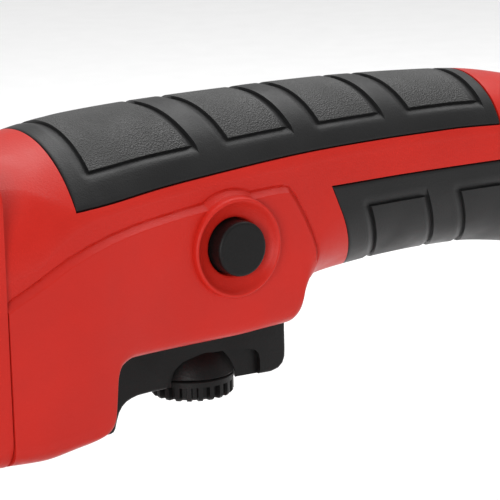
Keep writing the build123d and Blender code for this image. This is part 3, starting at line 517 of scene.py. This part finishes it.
LOW_EDGE = curve([60, 87, 110, 137, 150, 172, 200], [17.1, 17.2, 17.4, 17.3, 15.0, 4.5, -8])
LOW_LEAN = curve([0, 6, 13, 20, 31], [-2.5, 0, 3, 6, 11])
LOW_PANELS = [(98.8, 116.0), (125.6, 143.0)]
LOW_FRONT, LOW_REAR = 90.4, 156.0
LOW_PANEL_EDGE, LOW_TOTAL = 6.0, 32.0


def run_to_centre(edge, upward):
    """Every dense column from its crossing with the edge line to the centre line, with its arc length."""
    paths = []
    for col in DENSE:
        d = col[:, 2] - edge(col[:, 0])
        j = int(np.argmax(d > 0))
        t = d[j - 1] / (d[j - 1] - d[j])
        cross = col[j - 1] * (1 - t) + col[j] * t
        path = np.vstack([cross, col[j:] if upward else col[:j][::-1]])
        arc = np.concatenate([[0], np.cumsum(np.linalg.norm(np.diff(path, axis=0), axis=1))])
        paths.append((path, arc))
    return paths


def place_on(paths, rows, columns):
    """Grid of surface points; rows gives arcs for a path's (x, total arc), columns the x for a row."""
    along = []
    for path, arc in paths:
        at = rows(path[0, 0], arc[-1])
        along.append(np.stack([np.interp(at, arc, path[:, k]) for k in range(3)], 1))
    along = np.array(along)
    out = []
    for j in range(along.shape[1]):
        want = columns(j)
        x, w, z = along[:, j].T
        out.append(np.stack([want, np.interp(want, x, w), np.interp(want, x, z)], 1))
    return np.array(out).transpose(1, 0, 2)


def mirrored(grid):
    """Left half grid (rows from the edge to the centre) continued over the centre to the right edge."""
    other = grid[:, -2::-1].copy()
    other[..., 1] *= -1
    return np.concatenate([grid, other], 1)


def column_stops(panels, front, rear, grow):
    """Places along the pad: close together at its ends and at every groove, 1 mm apart elsewhere."""
    stops = [front - grow, rear + grow]
    stops += [front + v for v in EDGE_STOPS] + [rear - v for v in EDGE_STOPS]
    for left, right in panels:
        for x, reach in ((left, GROOVE_LEFT), (right, GROOVE_RIGHT)):
            stops += [x - reach * share for share in (1, 0.75, 0.5, 0.25)] + [x - 0.12, x, x + STEP]
    stops += list(np.arange(front + 1, rear - 0.8, 1.0))
    x0 = np.array(sorted({round(v, 3) for v in stops}))
    return x0[np.concatenate([[True], np.diff(x0) > 0.06])]


def row_distances(panel_edge, total):
    """Distances from the pad's edge to the centre line, close together at the border and the groove."""
    near = np.linspace(0, 1, 9) ** 1.6 * (panel_edge - GROOVE_LOW)
    wall = [panel_edge - GROOVE_LOW * share for share in (1, 0.66, 0.33)]
    first = np.concatenate([near[:-1], wall, [panel_edge, panel_edge + STEP, panel_edge + 0.6]])
    return np.concatenate([first, first[-1] + (total - first[-1]) * np.linspace(0, 1, 34)[1:]])


def pad_values(grid, x0, sample, panel_edge):
    """Both halves of a pad's grid, with every point's column place, edge distance and way to the panel."""
    shape = (len(x0), len(sample))
    half = [np.broadcast_to(v, shape) for v in (x0[:, None], sample, panel_edge - sample)]
    return [mirrored(grid)] + [np.concatenate([v, v[:, -2::-1]], 1) for v in half]


def top_grid(grow):
    """The top pad's region, grown all round by grow."""
    x0 = column_stops(TOP_PANELS, TOP_FRONT, TOP_REAR, grow)
    panel_edge = float(PANEL_LOW(TOP_SAMPLE_X)) + grow
    sample = row_distances(panel_edge, TOP_TOTAL)
    share = np.clip((sample - panel_edge) / (TOP_TOTAL - panel_edge), 0, 1)
    paths = run_to_centre(lambda x: TOP_EDGE(x) - grow, True)
    grid = place_on(paths, lambda x, total: row_distances(float(PANEL_LOW(x)) + grow, total),
                    lambda j: x0 + TOP_LEAN(x0) * share[j])
    return pad_values(grid, x0, sample, panel_edge)


def low_grid(grow):
    """The lower pad's region, grown all round by grow."""
    x0 = column_stops(LOW_PANELS, LOW_FRONT, LOW_REAR, grow)
    panel_edge = LOW_PANEL_EDGE + grow
    sample = row_distances(panel_edge, LOW_TOTAL)
    paths = run_to_centre(lambda x: LOW_EDGE(x) + grow, False)
    grid = place_on(paths, lambda x, total: row_distances(panel_edge, total),
                    lambda j: x0 + LOW_LEAN(sample[j]))
    return pad_values(grid, x0, sample, panel_edge)


WEDGE_EASE = 0.35  # share of the groove's left and lower slope that is eased rather than straight


def groove(x, below, panels):
    """Height of the pad's surface with its saw-tooth grooves, and where the panels' flat tops are."""
    h = np.zeros(x.shape)
    flat = np.zeros(x.shape, bool)
    for left, right in panels:
        ahead = x <= right + 1e-6
        inside = (x > left + STEP / 2) & ahead & (below < -STEP / 2)
        dl = np.maximum(left + STEP / 2 - x, 0)
        db = np.maximum(below + STEP / 2, 0)
        far = np.hypot(dl / GROOVE_LEFT, db / GROOVE_LOW)
        wedge = -DEPTH * (1 - smooth(far) * WEDGE_EASE - np.minimum(far, 1) * (1 - WEDGE_EASE))
        h = np.where(ahead & ~inside, np.minimum(h, wedge), h)
        ramp = -DEPTH * smooth((x - (right - GROOVE_RIGHT)) / GROOVE_RIGHT)
        over = ahead & (x > right - GROOVE_RIGHT) & (below < GROOVE_LOW)
        h = np.where(over, np.minimum(h, ramp * np.clip(1 - below / GROOVE_LOW, 0, 1)), h)
        flat |= inside & (x < right - GROOVE_RIGHT)
    return h, flat


def rounded_edge(distance):
    """Height of a rounded border at a distance from the pad's edge."""
    t = np.clip(distance / EDGE_ROUND, 0, 1)
    return -EDGE_ROUND * (1 - np.sqrt(1 - (1 - t) ** 2))


def pad(name, region, panels, ends, node, stippled):
    """Rubber pad with its grooves cut and a rounded border; its panels' tops may be stippled."""
    grid, x0, arc, below = region(0.0)
    h, flat = groove(x0, below, panels)
    border = np.minimum(np.minimum(x0 - ends[0], ends[1] - x0), arc)
    h = h + rounded_edge(border)
    outer = grid + normals(grid) * inward(grid) * h[..., None]
    verts, faces = thick_sheet(outer, offset(grid, -PAD_THICKNESS))
    finish = np.zeros(len(faces), np.int32)
    if stippled:
        whole = flat[:-1, :-1] & flat[1:, :-1] & flat[:-1, 1:] & flat[1:, 1:]
        finish[:whole.size] = whole.reshape(-1)
    obj = make(name, to_row(verts), faces, RUBBER, angle=40, finish=finish)
    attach(obj, "housing")
    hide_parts(node)


def pocket(name, region):
    """Cutter for the shells' pocket under a pad."""
    grid = region(POCKET_GAP)[0]
    verts, faces = thick_sheet(offset(grid, POCKET_HEADROOM), offset(grid, -POCKET_DEPTH))
    return make(name, to_row(verts), faces, RED)


pad("top_pad", top_grid, TOP_PANELS, (TOP_FRONT, TOP_REAR), "top_grip_pad", True)
top_cutter = pocket("top_cutter", top_grid)
pad("low_pad", low_grid, LOW_PANELS, (LOW_FRONT, LOW_REAR), "lower_grip_pad", False)
low_cutter = pocket("low_cutter", low_grid)

# ---- left and right shells --------------------------------------------------------------------
SLOT_LOW, SLOT_HIGH = (29.8, -7, -60), (83.2, 7, 1)
COLLAR_SEAT_R = 9.0
# far-side screws: x, z and how far out the boss reaches inside the wall
SCREWS = [(9, -22, 25), (12, 17, 24.2), (166, 4, 15.2)]
BOSS_R, RECESS_R, SHANK_R = 5.0, 3.8, 1.75
RECESS_FLOOR = 12

verts, faces = half_shell()
left = make("shell_left", to_row(verts), faces, RED)
right = make("shell_right", to_row(verts * np.array([1, -1, 1])), faces, RED)


def box(low, high):
    """Cutting box between two corners in handle millimetres."""
    x, w, z = zip(low, high)
    verts = [(a, b, c) for a in x for b in w for c in z]
    faces = [(0, 1, 3, 2), (4, 6, 7, 5), (0, 4, 5, 1), (2, 3, 7, 6), (0, 2, 6, 4), (1, 5, 7, 3)]
    return make("box", to_row(verts), faces, RED, smooth_faces=False)


def round_tool(radius, start, end, x, z):
    """Cylinder across the handle from w=start to w=end, for cutting or adding."""
    profile = [(0.0, -start), (radius, -start), (radius, -end), (0.0, -end)]
    return lathe("tool", profile, (SEAM_X + x, 0, AXIS_Z + z), (0, 1, 0), RED, steps=72, closed=False)


for shell in (left, right):
    cut(shell, top_cutter, keep=True)
    cut(shell, low_cutter, keep=True)
    cut(shell, box(SLOT_LOW, SLOT_HIGH))
bpy.data.objects.remove(top_cutter)
bpy.data.objects.remove(low_cutter)

# collar with a dished mouth round the lock-on button: radius, distance from the mid-plane
collar_profile = [(6.55, 14.0), (6.55, 21.9), (6.75, 22.1), (7.2, 22.25), (8.3, 22.65), (9.2, 23.2),
                  (9.9, 23.85), (10.3, 24.35), (10.55, 24.5), (10.85, 24.42), (11.08, 24.1),
                  (11.2, 23.3), (11.3, 21.6), (11.5, 20.9), (12.3, 20.4), (12.3, 14.0)]
collar = lathe("collar", [(r, -h) for r, h in collar_profile], (SEAM_X + BUTTON[0], 0, AXIS_Z + BUTTON[1]),
               (0, 1, 0), RED, steps=144)
cut(left, round_tool(COLLAR_SEAT_R, 10, 30, *BUTTON))
cut(left, collar, "UNION")
for x, z, boss_end in SCREWS:
    cut(right, round_tool(BOSS_R, -2, -boss_end, x, z), "UNION")
    cut(right, round_tool(RECESS_R, -RECESS_FLOOR, -40, x, z))
    cut(right, round_tool(SHANK_R, 0, -RECESS_FLOOR - 1, x, z))
for shell, node in ((left, "handle_shell_left"), (right, "handle_shell_right")):
    tidy_mesh(shell)
    shell.data.shade_smooth()
    shell.data.set_sharp_from_angle(angle=radians(55))
    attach(shell, "housing")
    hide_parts(node)

# ---- trigger and speed dial -------------------------------------------------------------------
def plate(name, outline, low, high, bevel_width=0.0):
    """Side-view outline (x, z) given thickness from w=low to w=high, with rounded long edges."""
    n = len(outline)
    verts = [(x, low, z) for x, z in outline] + [(x, high, z) for x, z in outline]
    faces = [tuple(range(n)), tuple(range(2 * n - 1, n - 1, -1))]
    faces += [(i, i + n, (i + 1) % n + n, (i + 1) % n) for i in range(n)]
    obj = make(name, to_row(verts), faces, BLACK)
    if bevel_width:
        mod = obj.modifiers.new("round", "BEVEL")
        mod.width, mod.segments = bevel_width / 1000, 5
        mod.limit_method, mod.angle_limit = "ANGLE", radians(50)
        dg = bpy.context.evaluated_depsgraph_get()
        obj.data = bpy.data.meshes.new_from_object(obj.evaluated_get(dg))
        obj.modifiers.clear()
    return obj


def upright(name, profile, x, steps=96):
    """Solid of revolution about a vertical axis; profile is (radius, height over the motor axis)."""
    return lathe(name, profile, (SEAM_X + x, 0, AXIS_Z), (0, 0, 1), BLACK, steps=steps, closed=False)


DIAL_X, DIAL_R = 60.8, 9.6
TRIGGER_HALF, TRIGGER_ROUND = 6.5, 1.0
SCOOP_DEPTH = 1.5  # how far each scoop goes into the trigger's side
PLUNGER_X = 50
trigger = plate("trigger_lever", [
    (30.2, -6), (30.2, -33.2), (30.8, -34.1), (32, -34.5), (35.6, -34.5), (36.4, -34.2), (36.9, -33.4),
    (37.4, -31.6), (38.0, -29.9), (38.8, -28.7), (39.9, -27.8), (41.3, -27.2), (42.9, -26.8), (46, -26.6),
    (50, -26.6), (66, -27.1), (78.8, -27.3), (80.8, -26.8), (82.1, -25.7), (82.7, -24.2), (82.8, -22.5),
    (82.8, -10), (76.8, -6)], -TRIGGER_HALF, TRIGGER_HALF, TRIGGER_ROUND)
SCOOP = [(49.6, -31), (50.4, -25.4), (51.8, -22.8), (54.6, -20.9), (58, -20.1), (63, -19.9),
         (68, -20.1), (72, -20.6), (74.2, -21.2), (75.1, -22.2), (75.4, -23.6), (75.4, -31)]
for side in (1, -1):
    cut(trigger, plate("scoop", SCOOP, (TRIGGER_HALF - SCOOP_DEPTH) * side, (TRIGGER_HALF + 2.5) * side))
hood = upright("hood", [(0, -18.5), (4.6, -18.5), (6.4, -19.6), (7.6, -20.7), (8.6, -22.2), (9.3, -23.6),
                        (9.75, -24.9), (9.55, -25.15), (0, -25.15)], DIAL_X)
cut(trigger, hood, "UNION")
cut(trigger, upright("well", [(0, -25.1), (9.9, -25.1), (9.9, -31), (0, -31)], DIAL_X))
cut(trigger, upright("bore", [(0, -31), (2.1, -31), (2.1, -17), (0, -17)], DIAL_X))
cut(trigger, upright("plunger", [(0, -8), (3.5, -8), (3.5, 14), (0, 14)], PLUNGER_X), "UNION")
tidy_mesh(trigger)
trigger.data.shade_smooth()
trigger.data.set_sharp_from_angle(angle=radians(30))

TEETH = 22
TOOTH_STEPS = 10  # points round the wheel for each tooth
SLOT_DEPTH, SLOT_SHARE = 1.15, 0.42


def knurled_dial():
    """Speed dial: a smooth upper band, slots cut from below, a dished underside and its shaft."""
    count = TEETH * TOOTH_STEPS
    # toothed or not, radius, height over the motor axis
    levels = [(0, 0, -18.6), (0, 2.0, -18.6), (0, 2.0, -25.4), (0, DIAL_R - 0.3, -25.4), (0, DIAL_R, -25.7),
              (0, DIAL_R, -26.9), (1, DIAL_R, -26.95), (1, DIAL_R, -29.5), (1, DIAL_R - 0.5, -30.1),
              (0, 7.4, -30.1), (0, 7.0, -29.9), (0, 6.6, -29.3), (0, 0, -29.3)]
    verts, faces = [], []
    for toothed, radius, z in levels:
        for k in range(count):
            phase = k % TOOTH_STEPS / TOOTH_STEPS
            slot = SLOT_DEPTH if toothed and phase < SLOT_SHARE else 0.0
            a = tau * k / count
            r = max(radius - slot, 0.0)
            verts.append((DIAL_X + r * cos(a), r * sin(a), z))
    for i in range(len(levels) - 1):
        for k in range(count):
            a, b = i * count + k, i * count + (k + 1) % count
            faces.append((a, b, b + count, a + count))
    return make("dial_wheel", to_row(verts), faces, BLACK, angle=30)


dial = knurled_dial()
for piece, body, node in ((trigger, "trigger", "trigger"), (dial, "speed_dial", "speed_dial")):
    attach(piece, body)
    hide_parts(node)

# ---- stage, light and camera ------------------------------------------------------------------
bpy.ops.mesh.primitive_plane_add(size=6, location=(0, 0, cad_box[0][2] - 0.0005))
floor = bpy.context.object
floor.name = "floor"
floor.data.materials.append(material("pale_floor", (0.92, 0.92, 0.92), 0.7, vary=0.01, grain=300, bump=0.02))

world = bpy.data.worlds.new("studio")
bpy.context.scene.world = world
world.use_nodes = True
background = world.node_tree.nodes["Background"]
background.inputs["Color"].default_value = (1, 1, 1, 1)
background.inputs["Strength"].default_value = 0.54


def area_light(name, place, target, size, power):
    """Soft rectangular light aimed at a point; power in watts."""
    data = bpy.data.lights.new(name, "AREA")
    data.shape, data.size, data.size_y, data.energy = "RECTANGLE", size[0], size[1], power
    obj = bpy.data.objects.new(name, data)
    bpy.context.scene.collection.objects.link(obj)
    obj.location = place
    obj.rotation_euler = (Vector(target) - Vector(place)).to_track_quat("-Z", "Y").to_euler()


AIM = (0.22, 0, 0.04)
area_light("key", (-0.55, -0.75, 0.22), AIM, (0.35, 0.35), 5.2)
area_light("top_box", (0.6, 0.2, 0.8), AIM, (0.8, 0.6), 5)
sun_data = bpy.data.lights.new("sky", "SUN")
sun_data.energy, sun_data.angle = 1.0, radians(60)
sun = bpy.data.objects.new("sky", sun_data)
bpy.context.scene.collection.objects.link(sun)
sun.rotation_euler = (radians(-18), radians(-8), 0)

# the camera looks at the lock-on button's face from the left front
BUTTON_FACE = Vector((0.212, -0.026, 0.040))
DISTANCE, LENS = 0.5, 165.6
SHIFT_RIGHT, SHIFT_UP = 0.001413, -0.000109
azimuth, elevation, roll = radians(-33), radians(12.5), radians(1.3)
back = Vector((sin(azimuth) * cos(elevation), -cos(azimuth) * cos(elevation), sin(elevation)))
across = Vector((cos(azimuth), sin(azimuth), 0))
up = back.cross(across)
right_axis = across * cos(roll) - up * sin(roll)
up_axis = across * sin(roll) + up * cos(roll)
cam_data = bpy.data.cameras.new("camera")
cam_data.sensor_width, cam_data.lens = 36, LENS
cam_data.clip_start = 0.02
camera = bpy.data.objects.new("camera", cam_data)
bpy.context.scene.collection.objects.link(camera)
turn = Matrix((right_axis, up_axis, back)).transposed()
stand = BUTTON_FACE + right_axis * SHIFT_RIGHT + up_axis * SHIFT_UP + back * DISTANCE
camera.matrix_world = Matrix.Translation(stand) @ turn.to_4x4()
bpy.context.scene.camera = camera

bpy.context.scene.view_settings.view_transform = "Standard"
